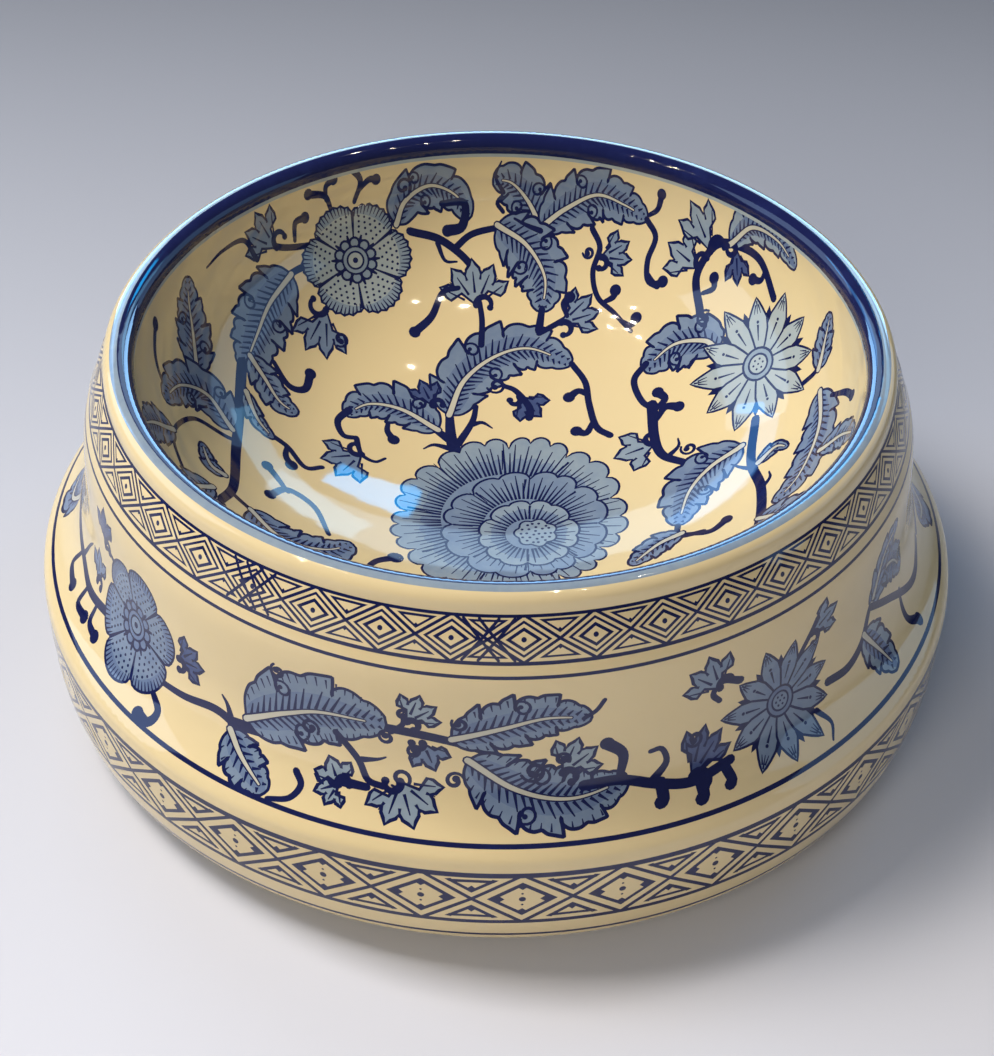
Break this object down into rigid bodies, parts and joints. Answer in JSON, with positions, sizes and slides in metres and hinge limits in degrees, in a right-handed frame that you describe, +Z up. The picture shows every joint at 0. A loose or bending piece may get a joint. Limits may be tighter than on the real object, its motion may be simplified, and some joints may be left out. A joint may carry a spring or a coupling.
{
  "type": "serving bowl",
  "caption": "Round double-walled porcelain serving bowl: rolled lip, flared shoulder, turned-in belly and foot ring, with blue scrollwork on ivory glaze.",
  "frame": {"origin": "centre of the foot ring's contact circle, on the surface that the bowl stands on", "axes": "+Z up along the axis that the bowl was turned on; +X and +Y are free, and the pictured front faces -Y"},
  "size_m": [0.2554, 0.2554, 0.1066],
  "materials": {
    "glazed_porcelain": "glossy clear glaze over ivory porcelain with underglaze cobalt painting",
    "bare_porcelain": "matt unglazed porcelain biscuit"
  },
  "bodies": {
    "root": {"basin": "glazed_porcelain", "upper_wall": "glazed_porcelain", "belly_wall": "glazed_porcelain", "base_disc": "glazed_porcelain", "foot_ring": "bare_porcelain"}
  },
  "joints": []
}
